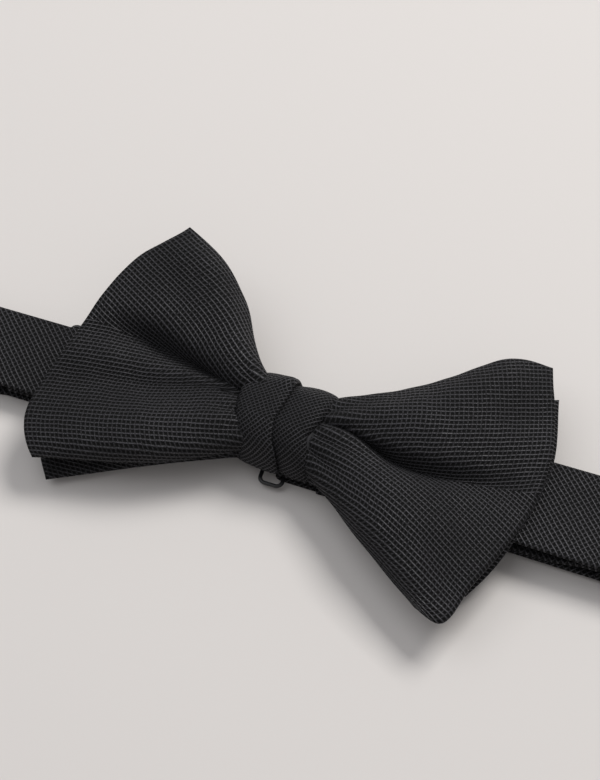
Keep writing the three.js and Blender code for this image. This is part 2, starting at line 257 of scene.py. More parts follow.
def grained_material(name, colour, roughness, scale, depth, metallic=0.0):
    """Felt, thread or enamel: a fine grain in colour, roughness and height, over broader wear."""
    material, nodes, links, shader = new_material(name)
    where = nodes.new("ShaderNodeTexCoord")
    grain = noise_node(nodes, links, where.outputs["Object"], scale, 3.0)
    wear = noise_node(nodes, links, where.outputs["Object"], scale / 12, 2.0)
    half_grain = math_node(nodes, links, "MULTIPLY", grain, 0.5)
    mixed = math_node(nodes, links, "MULTIPLY_ADD", wear, 0.5, half_grain)
    mix = nodes.new("ShaderNodeMix")
    mix.data_type = "RGBA"
    mix.inputs["A"].default_value = (*[c * 0.6 for c in colour], 1)
    mix.inputs["B"].default_value = (*[c * 1.4 for c in colour], 1)
    links.new(mixed, mix.inputs["Factor"])
    links.new(mix.outputs["Result"], shader.inputs["Base Color"])
    links.new(
        range_node(nodes, links, mixed, roughness * 0.8, min(1.0, roughness * 1.2), 0.2, 0.8),
        shader.inputs["Roughness"],
    )
    shader.inputs["Metallic"].default_value = metallic
    bump = nodes.new("ShaderNodeBump")
    bump.inputs["Strength"].default_value = 0.5
    bump.inputs["Distance"].default_value = depth * MM
    links.new(grain, bump.inputs["Height"])
    links.new(bump.outputs["Normal"], shader.inputs["Normal"])
    return material


CLOTH = cloth_material("figured_silk")
FELT = grained_material("interlining_felt", (0.03, 0.03, 0.033), 0.95, 1400, 0.1)
THREAD = grained_material("sewing_thread", (0.010, 0.010, 0.011), 0.5, 2500, 0.03)
ENAMEL = grained_material("black_enamel", (0.010, 0.010, 0.011), 0.3, 700, 0.02)


# ---- Mesh tools ----
def smooth(x):
    x = np.clip(x, 0, 1)
    return x * x * (3 - 2 * x)


def curve_through(points, t, per=None):
    """Points on a smooth curve through the given points (... x K x 3), at shares t of its length. Or, with
    per, in the spans and at the shares of them that its two arrays give."""
    points = np.asarray(points, float)
    step = np.diff(points, axis=-2)
    length = np.maximum(np.linalg.norm(step, axis=-1, keepdims=True), 1e-6)
    slope = step / length
    inner = (slope[..., :-1, :] * length[..., 1:, :] + slope[..., 1:, :] * length[..., :-1, :]) / (
        length[..., 1:, :] + length[..., :-1, :]
    )
    tangent = np.concatenate([slope[..., :1, :], inner, slope[..., -1:, :]], axis=-2)
    if per is None:
        along = np.concatenate([[0], np.cumsum(length[..., 0])])
        place = np.clip(t, 0, 1) * along[-1]
        k = np.clip(np.searchsorted(along, place, side="right") - 1, 0, len(length) - 1)
        f = ((place - along[k]) / length[k, 0])[:, None]
    else:
        k, f = per
        f = f[:, None]
    d = length[..., k, :]
    return (
        points[..., k, :] * (2 * f**3 - 3 * f**2 + 1)
        + tangent[..., k, :] * d * (f**3 - 2 * f**2 + f)
        + points[..., k + 1, :] * (3 * f**2 - 2 * f**3)
        + tangent[..., k + 1, :] * d * (f**3 - f**2)
    )


def running(points, axis):
    """Running length of each grid line along an axis."""
    steps = np.linalg.norm(np.diff(points, axis=axis), axis=2)
    start = np.zeros_like(np.take(steps, [0], axis=axis))
    return np.concatenate([start, np.cumsum(steps, axis=axis)], axis=axis)


def grid_normals(points):
    a = np.gradient(points, axis=0)
    b = np.gradient(points, axis=1)
    normal = np.cross(a, b)
    return normal / np.maximum(np.linalg.norm(normal, axis=2, keepdims=True), 1e-9)


def link_mesh(name, vertices, faces, material, face_uv=None):
    mesh = bpy.data.meshes.new(name)
    mesh.from_pydata(np.asarray(vertices).tolist(), [], np.asarray(faces).tolist())
    if face_uv is not None:
        mesh.uv_layers.new(name="cloth").data.foreach_set("uv", np.asarray(face_uv, np.float32).ravel())
    mesh.materials.append(material)
    piece = bpy.data.objects.new(name, mesh)
    bpy.context.scene.collection.objects.link(piece)
    return piece


def weld(piece, distance=2e-6):
    made = bmesh.new()
    made.from_mesh(piece.data)
    bmesh.ops.remove_doubles(made, verts=made.verts, dist=distance)
    bmesh.ops.recalc_face_normals(made, faces=made.faces)
    made.to_mesh(piece.data)
    made.free()
    piece.data.shade_smooth()


def envelope(name, points, uv_cells, thickness, rim, material, ends=True, place=None):
    """A closed piece of cloth round a grid in millimetres: a face and a back, joined round the edge,
    where the thickness rounds off over rim millimetres. uv_cells holds the cloth's coordinates at
    the four corners of each cell."""
    rows, columns = points.shape[:2]
    across = running(points, 1)
    edge = np.minimum(across, across[:, -1:] - across)
    if ends:
        along = running(points, 0)
        edge = np.minimum(edge, np.minimum(along, along[-1:] - along))
    share = np.clip(1 - edge / rim, 0, 1)
    half = 0.5 * thickness * np.sqrt(np.maximum(1 - share**2, 0))[..., None]
    normal = grid_normals(points)
    layers = np.stack([points + normal * half, points - normal * half])
    index = np.arange(2 * rows * columns).reshape(2, rows, columns)

    def cells(i):
        return np.stack([i[:-1, :-1], i[1:, :-1], i[1:, 1:], i[:-1, 1:]], axis=-1).reshape(-1, 4)

    face, back = cells(index[0]), cells(index[1])[:, ::-1]
    uv = uv_cells.reshape(-1, 4, 2)
    ring = [(0, slice(None)), (-1, slice(None)), (slice(None), 0), (slice(None), -1)]
    faces, coordinates = [face, back], [uv, uv[:, ::-1]]
    grid_uv = [uv_cells[0, :], uv_cells[-1, :], uv_cells[:, 0], uv_cells[:, -1]]
    corners = [(0, 3), (1, 2), (0, 1), (3, 2)]
    for where, cell, (p, q) in zip(ring, grid_uv, corners):
        a, b = index[0][where], index[1][where]
        faces.append(np.stack([a[:-1], a[1:], b[1:], b[:-1]], axis=-1))
        coordinates.append(np.stack([cell[:, p], cell[:, q], cell[:, q], cell[:, p]], axis=1))
    vertices = layers.reshape(-1, 3)
    vertices = place(vertices) if place else vertices * MM
    piece = link_mesh(name, vertices, np.concatenate(faces), material, np.concatenate(coordinates))
    weld(piece)
    return piece


def cell_uv(along, across):
    """Corner coordinates of each cell, from those of the grid."""
    uv = np.stack([along, across], axis=2)
    return np.stack([uv[:-1, :-1], uv[1:, :-1], uv[1:, 1:], uv[:-1, 1:]], axis=2)


def turned(uv, degrees):
    a = math.radians(degrees)
    return uv @ np.array([[math.cos(a), math.sin(a)], [-math.sin(a), math.cos(a)]])


def finish_piece(piece, body, slot, *nodes):
    """Rides on a body, or, when body is not a single name, keeps its place baked into the mesh, and stands
    for the CAD nodes, which it hides.
    """
    if isinstance(body, str):
        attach(piece, body)
    else:
        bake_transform(piece)
    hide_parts(*nodes)
    return piece


# ---- Bow ----
# Each wing is a row of folds, from its near edge to its far edge. A fold line has a point in the
# gathers, one where it leaves the knot, one halfway and one at the edge, and one more where it bends
# sharply, in millimetres on the bow's own axes.
FRONT_LEFT = [
    [(-4, -4, 8.5), (-9.5, -7, 8.5), (-23.5, -15, 8.5), (-52.5, -25, 9)],
    [(-4, -3, 10.5), (-9.5, -6, 11), (-27, -15, 12.5), (-54.5, -23, 10)],
    [(-4, -2, 12), (-10, -4, 13), (-28.5, -10.5, 14), (-57.5, -17.5, 11)],
    [(-4, 2, 11.5), (-12, 4.5, 12.5), (-31.5, 1.5, 11), (-57, -5.5, 12)],
    [(-4, 3, 11.5), (-12, 6, 12.5), (-32, 5, 12), (-55, 3, 14)],
    [(-4, 4.5, 10.5), (-12.5, 7, 10.5), (-34, 11.5, 10), (-53.5, 11, 14.5)],
    [(-4, 5.5, 13), (-12.5, 7, 13.5), (-32, 13.5, 15.5), (-52, 17.5, 16)],
    [(-4, 7, 13.5), (-11.5, 8, 15.5), (-28.5, 19.5, 18), (-47, 29, 18.5)],
    [(-4, 8.5, 13.5), (-10.5, 10, 16), (-23.5, 24.5, 19), (-30.5, 33, 20), (-39, 38.5, 20)],
    [(-4, 10, 12.5), (-9, 12.5, 14), (-20.5, 28.5, 15), (-28.5, 35, 17.5), (-38.5, 39.5, 20)],
]
FRONT_RIGHT = [
    [(4, -4, 8.5), (7.5, -5.5, 8), (21.5, -15.5, 9), (42.5, -29.5, 9)],
    [(4, -3, 10), (7.5, -5, 10), (25, -15, 13), (49, -31.5, 9.5)],
    [(4, -2, 11.5), (7.5, -2.5, 12), (28, -9.5, 15.5), (53, -21, 10.5)],
    [(4, 2, 12), (6.5, 3.5, 13), (27, -2, 14), (59, -3, 11)],
    [(4, 4, 11), (6.5, 6.5, 11), (28, 1.5, 11), (60.5, 5.5, 11)],
    [(4, 5.5, 12.5), (7.5, 5.5, 13.5), (28.5, 4, 16), (60.5, 10.5, 11.5)],
    [(4, 7, 13), (7.5, 6.5, 14), (28.5, 7, 17.5), (60, 16.5, 12.5)],
    [(4, 8, 13), (8, 8, 14), (30, 13, 18.5), (57.5, 26, 13)],
    [(4, 9.5, 13), (8, 10, 13.5), (29, 18, 17), (46.5, 31, 16), (55, 32.5, 13.5)],
    [(4, 10.5, 12.5), (7.5, 11.5, 12.5), (28, 22, 14.5), (46.5, 36, 14.5), (53.5, 37, 13.5)],
]
REAR_LEFT = [
    [(-4, -6, 8), (-9, -7.5, 6.5), (-22, -12.5, 4), (-49, -26.5, 2.5)],
    [(-4, -3, 8.5), (-10, -4.5, 8), (-24, -8.5, 7), (-52.5, -21.5, 3.5)],
    [(-4, 3, 8.5), (-12, 3, 8), (-28, 3.5, 8), (-53.5, 2, 9)],
    [(-4, 6, 8.5), (-12, 8, 8), (-26, 14, 8), (-49, 19, 9)],
    [(-4, 9.5, 8), (-10, 11.5, 7.5), (-27, 28.5, 6.5), (-37, 35.5, 8)],
]
REAR_RIGHT = [
    [(4, -6, 8), (9, -7.5, 7), (22, -12, 5.5), (52, -20.5, 3)],
    [(4, -3, 8.5), (10, -4, 9), (24, -7, 9.5), (55.5, -14.5, 6)],
    [(4, 3, 8.5), (12, 3, 9), (28, 3, 9.5), (60, 2.5, 9.5)],
    [(4, 6, 8.5), (12, 8, 9), (26, 12, 9.5), (61, 14, 9.5)],
    [(4, 9.5, 8), (10, 11, 8.5), (24, 17.5, 8.5), (57, 32.5, 8)],
]
# How far across each outer fold its columns lie: closest at the edge, where the cloth rounds off.
EDGE_SHARES = np.array([0, 0.015, 0.05, 0.1, 0.17, 0.26, 0.38, 0.52, 0.68, 0.84])
WING_ROWS = 84
MIDDLE_ROWS = 8
BOW_RIM = 1.4  # how far in from its edge the bow's cloth starts to round off
BOW_LINING_PLY = 0.5
BOW_LINING_RIM = 0.4
BOW_LINING_INSET = 0.35  # as a share of the outer folds' width
BOW_LINING_REACH = 0.96  # as a share of the fold lines' length


def fold_shares(folds, per, inset=0.0):
    """Which fold each column lies in, and how far across it, closer together at the two edges."""
    inner = np.arange(per) / per
    k = [np.zeros(len(EDGE_SHARES), int)]
    f = [EDGE_SHARES]
    for fold in range(1, folds - 1):
        k.append(np.full(per, fold))
        f.append(inner)
    k.append(np.full(len(EDGE_SHARES) + 1, folds - 1))
    f.append(np.concatenate([[0], 1 - EDGE_SHARES[::-1]]))
    f[0] = inset + (1 - inset) * f[0]
    f[-1] = (1 - inset) * f[-1]
    return np.concatenate(k), np.concatenate(f)


def wing_grid(lines, shares, reach=1.0):
    u = reach * np.sin(0.5 * np.pi * np.linspace(0, 1, WING_ROWS))
    rows = np.stack([curve_through(line, u) for line in lines], axis=1)
    return curve_through(rows, None, shares)


def ripples(points):
    """Small waves in the cloth, deeper near the gathers."""
    x, y = points[..., 0], points[..., 1]
    reach = np.hypot(x, y - 2)
    angle = np.arctan2(y - 2, np.abs(x))
    wave = 0.14 * np.sin(0.31 * x + 0.17 * y + 0.6) * np.sin(0.23 * y - 0.13 * x)
    wave += 0.10 * np.sin(0.57 * y + 0.21 * x + 1.9) * np.sin(0.4 * x + 0.5)
    gathers = 0.30 * np.exp(-((reach - 10) / 9.0) ** 2) * np.sin(19 * angle + 1.3)
    return wave + gathers


def bow_grid(left, right, per, inset=0.0, reach=1.0):
    """Both wings and the gathers between them, from the left outer edge to the right one."""
    shares = fold_shares(len(left) - 1, per, inset)
    left_points = wing_grid(left, shares, reach)[::-1]
    right_points = wing_grid(right, shares, reach)
    t = np.linspace(0, 1, MIDDLE_ROWS + 2)[1:-1, None, None]
    middle = left_points[-1:] * (1 - t) + right_points[:1] * t
    return np.concatenate([left_points, middle, right_points])


def bow_uv(points, per, seams, threads):
    """Cloth coordinates: along from each wing's outer edge, across from the thread that runs down the
    middle of each lobe, with a break down each pleat, where the cloth is out of sight."""
    along = running(points, 0)
    half = points.shape[0] // 2
    rows = np.arange(points.shape[0])[:, None]
    along = np.where(rows < half, along, along[-1:] - along)
    across = running(points, 1)
    columns = points.shape[1]
    first = len(EDGE_SHARES) - per

    def column(fold_line):
        if fold_line <= 0:
            return 0
        return min(columns - 1, first + per * fold_line)

    out = np.empty((points.shape[0] - 1, columns - 1, 4, 2))
    for side, (seam, low, high) in enumerate(zip(seams, *threads)):
        rows_here = slice(0, half) if side == 0 else slice(half, points.shape[0] - 1)
        for start, end, base in ((0, column(seam), low), (column(seam), columns - 1, high)):
            measured = across - across[:, column(base)][:, None]
            out[rows_here, start:end] = cell_uv(along, measured)[rows_here, start:end]
    return out


def make_bow(name, left, right, thickness, seams, threads, per, nodes, lining_node):
    points = bow_grid(left, right, per)
    points = points + grid_normals(points) * ripples(points)[..., None]
    uv = bow_uv(points, per, seams, threads)
    piece = envelope(name, points, uv, thickness, BOW_RIM, CLOTH, place=bow_point)
    finish_piece(piece, "tie", "bow_cloth", *nodes)
    inner = bow_grid(left, right, per, inset=BOW_LINING_INSET, reach=BOW_LINING_REACH)
    inner = inner + grid_normals(inner) * ripples(inner)[..., None]
    inner = inner[::3]
    inner_uv = cell_uv(running(inner, 0), running(inner, 1))
    lining = envelope(
        name + "_lining", inner, inner_uv, BOW_LINING_PLY, BOW_LINING_RIM, FELT, place=bow_point
    )
    finish_piece(lining, "tie", "interlining", lining_node)
    return piece, lining


# ---- Neck band ----
LEFT_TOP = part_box("left_end_fold")[1].z / MM
RIGHT_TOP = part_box("right_end_fold")[1].z / MM
RIGHT_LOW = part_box("right_end_fold")[0].z / MM
LEFT_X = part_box("left_end_fold")[1].x / MM
RIGHT_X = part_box("right_end_fold")[0].x / MM
FOLD_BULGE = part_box("right_end_fold")[1].x / MM - RIGHT_X
PLY = 1.2
SEAM = 0.4  # how far each end fold reaches over the runs it joins
BAND_HALF = 10.6  # half the band's width at X = 0
BAND_TAPER = 0.0105  # what that gains for each millimetre of X
KNOT_PINCH = 1.2  # how far the knot draws in each edge of the band
KNOT_DROP = 0.75  # how much lower the front run lies in the knot than on the right
STRAP_PLY = PLY * 0.96  # the straps are a little thinner than the front run
LINING_PLY = 0.35
INNER_INSET = 0.1  # the inner run is this much narrower than the outer one, on each side
LINING_INSET = 0.6  # from the edge of the cloth to the edge of its lining
KNOT_HALF = 11.8  # from the knot's middle to where the front run starts to widen and change height
EASE = 10  # how far along X the run takes to widen, and to come down on the left
STEP_END = 17.6  # where the front run reaches its height over the slider
OUTER_STEP_END = STEP_END + 2
TURN_OFFSET = 0.3  # from the middle of a wire to the ends of the turn of cloth round it
JOIN = 0.1  # past the end of a CAD node, where its piece meets the next
CORE_END = 1.0  # from a strap's ends to those of its lining
CLIMB_START = 12  # how far before the slider's loop the inner run starts to climb
CLIMB_LENGTH = 10
FOLD_STEPS = 22
RIBBON_COLUMNS = 31
BIAS = 45.0  # degrees between the threads and the band
BOW_MIDDLE = KNOT_X / MM


def band_half(x):
    """Half the band's width at x, in millimetres, away from the knot."""
    return BAND_HALF + BAND_TAPER * x


def front_half(x):
    """Half the band's width at x, in millimetres; the knot draws its edges in."""
    inside = 1 - smooth((np.abs(x - BOW_MIDDLE) - KNOT_HALF) / EASE)
    return band_half(x) - KNOT_PINCH * inside


def front_height(x):
    """Middle of the front run's thickness at x: lowest on the left, highest over the slider."""
    knot_top = RIGHT_TOP - KNOT_DROP
    left = LEFT_TOP + (knot_top - LEFT_TOP) * (1 - smooth((BOW_MIDDLE - KNOT_HALF - x) / EASE))
    rise = (x - BOW_MIDDLE - KNOT_HALF) / (STEP_END - BOW_MIDDLE - KNOT_HALF)
    right = knot_top + KNOT_DROP * smooth(rise)
    return np.where(x < BOW_MIDDLE, left, right) - PLY / 2


def ribbon(name, path, halves, thickness, material, rim=0.6, crown=0.15):
    """A flat tube of cloth along a path of (x, z), with its half width at each point."""
    path, halves = np.asarray(path, float), np.broadcast_to(np.asarray(halves, float), len(path))
    v = np.sin(0.5 * np.pi * np.linspace(-1, 1, RIBBON_COLUMNS))
    direction = np.gradient(path, axis=0)
    direction /= np.linalg.norm(direction, axis=1)[:, None]
    lift = crown * (1 - v**4)
    points = np.empty((len(path), len(v), 3))
    points[..., 0] = path[:, :1] - direction[:, 1:] * lift
    points[..., 2] = path[:, 1:] + direction[:, :1] * lift
    points[..., 1] = v * halves[:, None] + BAND_Y / MM
    uv = turned(cell_uv(running(points, 0), running(points, 1)), BIAS)
    return envelope(name, points, uv, thickness, rim, material, ends=False)


def half_turn(centre, radii, start, end, steps=14):
    """Part of an ellipse in the X-Z plane, angles in degrees from +X towards +Z."""
    a = np.radians(np.linspace(start, end, steps))
    return np.stack([centre[0] + radii[0] * np.cos(a), centre[1] + radii[1] * np.sin(a)], 1)


def straight(x0, z0, x1, z1, step=2.0):
    steps = max(2, int(abs(x1 - x0) / step) + 1)
    return np.stack([np.linspace(x0, x1, steps), np.linspace(z0, z1, steps)], 1)


def joined(*paths):
    out = [paths[0]]
    for path in paths[1:]:
        out.append(path[1:])
    return np.concatenate(out)


# ---- Thread and wire ----
def tubes(name, runs, radius, material, body, slot, *nodes):
    """Round thread or wire along runs of points in millimetres. A run is (points, closed)."""
    curve = bpy.data.curves.new(name, "CURVE")
    curve.dimensions = "3D"
    curve.bevel_depth = radius * MM
    curve.bevel_resolution = 3
    curve.use_fill_caps = True
    for points, closed in runs:
        line = curve.splines.new("POLY")
        line.points.add(len(points) - 1)
        for spot, p in zip(line.points, points):
            spot.co = (p[0] * MM, p[1] * MM, p[2] * MM, 1)
        line.use_cyclic_u = closed
    made = bpy.data.objects.new(name + "_curve", curve)
    bpy.context.scene.collection.objects.link(made)
    bpy.context.view_layer.update()
    mesh = bpy.data.meshes.new_from_object(made)
    bpy.data.objects.remove(made)
    mesh.name = name
    mesh.materials.clear()
    mesh.materials.append(material)
    mesh.shade_smooth()
    piece = bpy.data.objects.new(name, mesh)
    bpy.context.scene.collection.objects.link(piece)
    return finish_piece(piece, body, slot, *nodes)


def rounded_frame(low_x, high_x, low_y, high_y, radius, z, steps=7):
    out = []
    corners = [(high_x, high_y, 0), (low_x, high_y, 90), (low_x, low_y, 180), (high_x, low_y, 270)]
    for cx, cy, start in corners:
        x = cx - math.copysign(radius, cx - (low_x + high_x) / 2)
        y = cy - math.copysign(radius, cy - (low_y + high_y) / 2)
        for a in np.radians(np.linspace(start, start + 90, steps)):
            out.append((x + radius * math.cos(a), y + radius * math.sin(a), z))
    return out


make_camera()
make_lights()
make_floor()

front, front_lining = make_bow(
    "front_bow", FRONT_LEFT, FRONT_RIGHT, 1.9, (5, 4), ((2, 2), (7, 7)), 9,
    ["front_bow_face", "front_bow_back"], "front_bow_interlining",
)
rear, rear_lining = make_bow(
    "rear_bow", REAR_LEFT, REAR_RIGHT, 1.4, (2, 2), ((2, 2), (2, 2)), 12,
    ["rear_bow_face", "rear_bow_back"], "rear_bow_interlining",
)

# Front run, its two end folds, and the runs under it.
front_x = np.linspace(LEFT_X + SEAM, RIGHT_X - SEAM, 150)
front_path = np.stack([front_x, front_height(front_x)], 1)
front_band = ribbon("front_band", front_path, front_half(front_x), PLY, CLOTH)
finish_piece(front_band, "tie", "band_cloth", "band_front_cloth")
band_lining = ribbon(
    "front_band_lining", front_path[2:-2], front_half(front_x[2:-2]) - LINING_INSET, LINING_PLY,
    FELT, rim=0.2,
)
finish_piece(band_lining, "tie", "interlining", "band_front_interlining")

bulge = FOLD_BULGE - PLY / 2
left_mid, left_reach = LEFT_TOP / 2, LEFT_TOP / 2 - PLY / 2
left_half = front_half(LEFT_X)
left_fold_path = joined(
    straight(LEFT_X + SEAM, left_mid + left_reach, LEFT_X, left_mid + left_reach),
    half_turn((LEFT_X, left_mid), (bulge, left_reach), 90, 270, FOLD_STEPS),
    straight(LEFT_X, left_mid - left_reach, LEFT_X + SEAM, left_mid - left_reach),
)
left_fold = ribbon("left_fold", left_fold_path, left_half, PLY, CLOTH)
finish_piece(
    left_fold,
    ("tie", "left_return", (LEFT_X * MM, BAND_Y, (LEFT_TOP - PLY) * MM), (LEFT_X * MM, BAND_Y, PLY * MM)),
    "band_cloth", "left_end_fold",
)
right_mid, right_reach = (RIGHT_TOP + RIGHT_LOW) / 2, (RIGHT_TOP - RIGHT_LOW) / 2 - PLY / 2
right_half = front_half(RIGHT_X)
right_fold_path = joined(
    straight(RIGHT_X - SEAM, right_mid + right_reach, RIGHT_X, right_mid + right_reach),
    half_turn((RIGHT_X, right_mid), (bulge, right_reach), 90, -90, FOLD_STEPS),
    straight(RIGHT_X, right_mid - right_reach, RIGHT_X - SEAM, right_mid - right_reach),
)
right_fold = ribbon("right_fold", right_fold_path, right_half, PLY, CLOTH)
finish_piece(
    right_fold,
    (
        "tie", "right_return",
        (RIGHT_X * MM, BAND_Y, (RIGHT_TOP - PLY) * MM), (RIGHT_X * MM, BAND_Y, (RIGHT_LOW + PLY) * MM),
    ),
    "band_cloth", "right_end_fold",
)

# Left return, turned round the eye and stitched down.
eye_low, eye_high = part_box("eye_ring")
wire_half = (eye_high.z - eye_low.z) / 2 / MM
eye_z = (eye_high.z + eye_low.z) / 2 / MM
eye_bar = eye_low.x / MM + wire_half
ply_mid = PLY / 2
turn_radius = eye_z - ply_mid
left_loop_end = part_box("left_end_loop")[0].x / MM
left_path = joined(
    straight(LEFT_X + SEAM, ply_mid, eye_bar - TURN_OFFSET, ply_mid),
    half_turn((eye_bar + TURN_OFFSET, eye_z), (turn_radius, turn_radius), -90, 90),
    straight(eye_bar - TURN_OFFSET, eye_z + turn_radius, left_loop_end, eye_z + turn_radius),
)
loop_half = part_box("left_end_loop")[1].y / MM - BAND_Y / MM
left_widths = np.where(left_path[:, 0] < left_loop_end - CORE_END, front_half(left_path[:, 0]), loop_half)
left_strap = ribbon("left_strap", left_path, left_widths, STRAP_PLY, CLOTH, crown=0.0)
finish_piece(left_strap, "left_return", "band_cloth", "left_return_cloth", "left_end_loop")
left_core = straight(LEFT_X + CORE_END, ply_mid, left_loop_end - CORE_END, ply_mid)
left_lining = ribbon(
    "left_strap_lining", left_core, loop_half - LINING_INSET, LINING_PLY, FELT, rim=0.2, crown=0.0
)
finish_piece(left_lining, "left_return", "interlining", "left_return_interlining")

# Right: the outer run, the turn round the hook, the inner run, and its end round the slider.
turn_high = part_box("band_turn")[1]
hook_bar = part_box("hook")[1].x / MM - wire_half
turn_end = turn_high.x / MM + JOIN
slider_low, slider_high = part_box("adjuster_slider")
slider_bar = (slider_low.x + slider_high.x) / 2 / MM
bar_z = slider_high.z / MM - wire_half
outer_x = np.linspace(RIGHT_X - SEAM, turn_end, 60)
lift = smooth((outer_x - turn_end) / (OUTER_STEP_END - turn_end))
outer_path = np.stack([outer_x, ply_mid + RIGHT_LOW * lift], 1)
outer_run = ribbon("outer_run", outer_path, band_half(outer_x), STRAP_PLY, CLOTH, crown=0.0)
outer_blend = ("right_return", "turned_strap", (0.090, BAND_Y, 0), (0.015, BAND_Y, 0))
finish_piece(outer_run, outer_blend, "band_cloth", "right_outer_run_cloth")
outer_lining = ribbon(
    "outer_run_lining", outer_path[2:-2], band_half(outer_x[2:-2]) - LINING_INSET, LINING_PLY,
    FELT, rim=0.2, crown=0.0,
)
finish_piece(outer_lining, outer_blend, "interlining", "right_outer_run_interlining")
turn_half = turn_high.y / MM - BAND_Y / MM
turn_path = joined(
    straight(turn_end, ply_mid, hook_bar + TURN_OFFSET, ply_mid),
    half_turn((hook_bar - TURN_OFFSET, eye_z), (turn_radius, turn_radius), -90, -270),
    straight(hook_bar + TURN_OFFSET, eye_z + turn_radius, turn_end, eye_z + turn_radius),
)
strap_turn = ribbon("strap_turn", turn_path, turn_half, STRAP_PLY, CLOTH, crown=0.0)
finish_piece(strap_turn, "turned_strap", "band_cloth", "band_turn")
loop_low, loop_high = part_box("slider_end_loop")
loop_start = loop_low.x / MM - JOIN
inner_top = loop_high.z / MM - ply_mid
inner_x = np.linspace(turn_end, loop_start, 50)
inner_low = eye_z + turn_radius
climb = smooth((inner_x - loop_start + CLIMB_START) / CLIMB_LENGTH)
inner_path = np.stack([inner_x, inner_low + (inner_top - inner_low) * climb], 1)
inner_half = band_half(inner_x) - INNER_INSET
inner_run = ribbon("inner_run", inner_path, inner_half, STRAP_PLY, CLOTH, crown=0.0)
inner_blend = ("turned_strap", "slider", (0.016, BAND_Y, 0), (0.074, BAND_Y, 0))
finish_piece(inner_run, inner_blend, "band_cloth", "inner_run_cloth")
inner_lining = ribbon(
    "inner_run_lining", inner_path[2:-2], inner_half[2:-2] - LINING_INSET, LINING_PLY,
    FELT, rim=0.2, crown=0.0,
)
finish_piece(inner_lining, inner_blend, "interlining", "inner_run_interlining")
loop_radius = inner_top - bar_z
slider_path = joined(
    straight(loop_start, inner_top, slider_bar - TURN_OFFSET, inner_top),
    half_turn((slider_bar + TURN_OFFSET, bar_z), (loop_radius, loop_radius), 90, -90),
    straight(slider_bar - TURN_OFFSET, bar_z - loop_radius, loop_start, bar_z - loop_radius),
)
slider_half = loop_high.y / MM - BAND_Y / MM
slider_loop = ribbon("slider_loop", slider_path, slider_half, STRAP_PLY, CLOTH, crown=0.0)
finish_piece(slider_loop, "slider", "band_cloth", "slider_end_loop")


# ---- Knot ----
# The loop of cloth round the gathers, in (y, z) on the bow's axes, from under the band up its far side.
KNOT_LOOP = [
    (1, 4.9), (6, 5.0), (10.5, 5.3), (12.9, 6.4), (13.4, 8.2), (13.0, 10.6), (12.0, 13.0),
    (10.0, 14.7), (6.5, 15.4), (2.5, 15.4), (-1.2, 14.7), (-4.0, 12.9), (-5.8, 10.2), (-6.7, 7.4),
    (-6.9, 5.6), (-5.8, 4.9), (-3, 4.8),
]
# Where the cloth starts, folds over and ends along X, as (y, x) from the near side to the far side.
KNOT_LEFT = [(-9, -8.5), (-7, -8.5), (-3, -10.5), (2, -12), (7, -12.5), (14, -9.5)]
KNOT_FOLD = [(-9, 2), (-7, 1.5), (-3.5, -1.5), (0.5, -2.5), (6, -1.5), (14, -0.5)]
KNOT_RIGHT = [(-9, 9.5), (-7, 9), (-4, 7), (-0.5, 6), (2, 7), (6.5, 8.5), (14, 10)]
KNOT_UNDER = (-9.0, 0.5, 9.0)  # the same three places on the underside
# Across the cloth: how far from start (0) to fold (1) to end (2), and the height above the loop.
KNOT_PROFILE = [
    (0.0, -1.0), (0.05, -0.2), (0.2, 0.5), (0.45, 0.95), (0.7, 1.1), (0.88, 1.1), (0.97, 0.95),
    (1.0, 0.68), (0.96, 0.44), (0.84, 0.4), (0.76, 0.1), (0.84, -0.2), (0.97, -0.22), (1.1, -0.05),
    (1.3, 0.35), (1.55, 0.6), (1.78, 0.45), (1.93, 0.0), (1.985, -0.6), (2.0, -1.1),
]
PROFILE_SCALE = 0.12  # brings heights to the size of the shares, so that points spread along both
TOP_START, TOP_EASE = 5.0, 1.5  # from this height the underside gives way to the top, over this much
UNDER_FLATNESS = 0.1  # share of its height that the profile keeps on the underside
ROLL_Y, ROLL_LENGTH, ROLL_HEIGHT = 10.4, 1.5, 0.8  # the pleat's roll where it turns down behind
ROLL_PLACE, ROLL_WIDTH = 0.85, 0.22  # across the cloth, on the same scale as the profile
KNOT_TIGHTNESS = 1.3  # pulled tight, the weave is closer here
KNOT_PLY, KNOT_RIM = 0.5, 0.3
KNOT_LINING_HALF, KNOT_LINING_DEPTH = 7.5, 1.1


def knot_grid(steps_round=120, steps_across=90):
    loop = np.array([(0, y, z) for y, z in KNOT_LOOP + KNOT_LOOP[:1]], float)
    ring = curve_through(loop, np.linspace(0, 1, steps_round))
    direction = np.gradient(ring, axis=0)
    direction /= np.linalg.norm(direction, axis=1)[:, None]
    outwards = np.stack([np.zeros(len(ring)), -direction[:, 2], direction[:, 1]], 1) * -1
    section = [(q, h * PROFILE_SCALE, 0) for q, h in KNOT_PROFILE]
    profile = curve_through(section, np.linspace(0, 1, steps_across))
    q, h = profile[:, 0], profile[:, 1] / PROFILE_SCALE
    y = ring[:, 1]
    on_top = smooth((ring[:, 2] - TOP_START) / TOP_EASE)
    left, fold, right = (
        on_top * np.interp(y, *zip(*places)) + (1 - on_top) * under
        for places, under in zip((KNOT_LEFT, KNOT_FOLD, KNOT_RIGHT), KNOT_UNDER)
    )
    left, fold, right = left[:, None], fold[:, None], right[:, None]
    x = np.where(q[None] < 1, left + (fold - left) * q[None], fold + (right - fold) * (q[None] - 1))
    height = h[None] * (UNDER_FLATNESS + (1 - UNDER_FLATNESS) * on_top[:, None])
    roll = np.exp(-(((y - ROLL_Y) / ROLL_LENGTH) ** 2)) * on_top
    rolled = np.exp(-(((q[None] - ROLL_PLACE) / ROLL_WIDTH) ** 2)) * (h[None] > 0.5)
    height = height + ROLL_HEIGHT * roll[:, None] * rolled
    points = ring[:, None, :] + outwards[:, None, :] * height[..., None]
    points[..., 0] = x
    return points


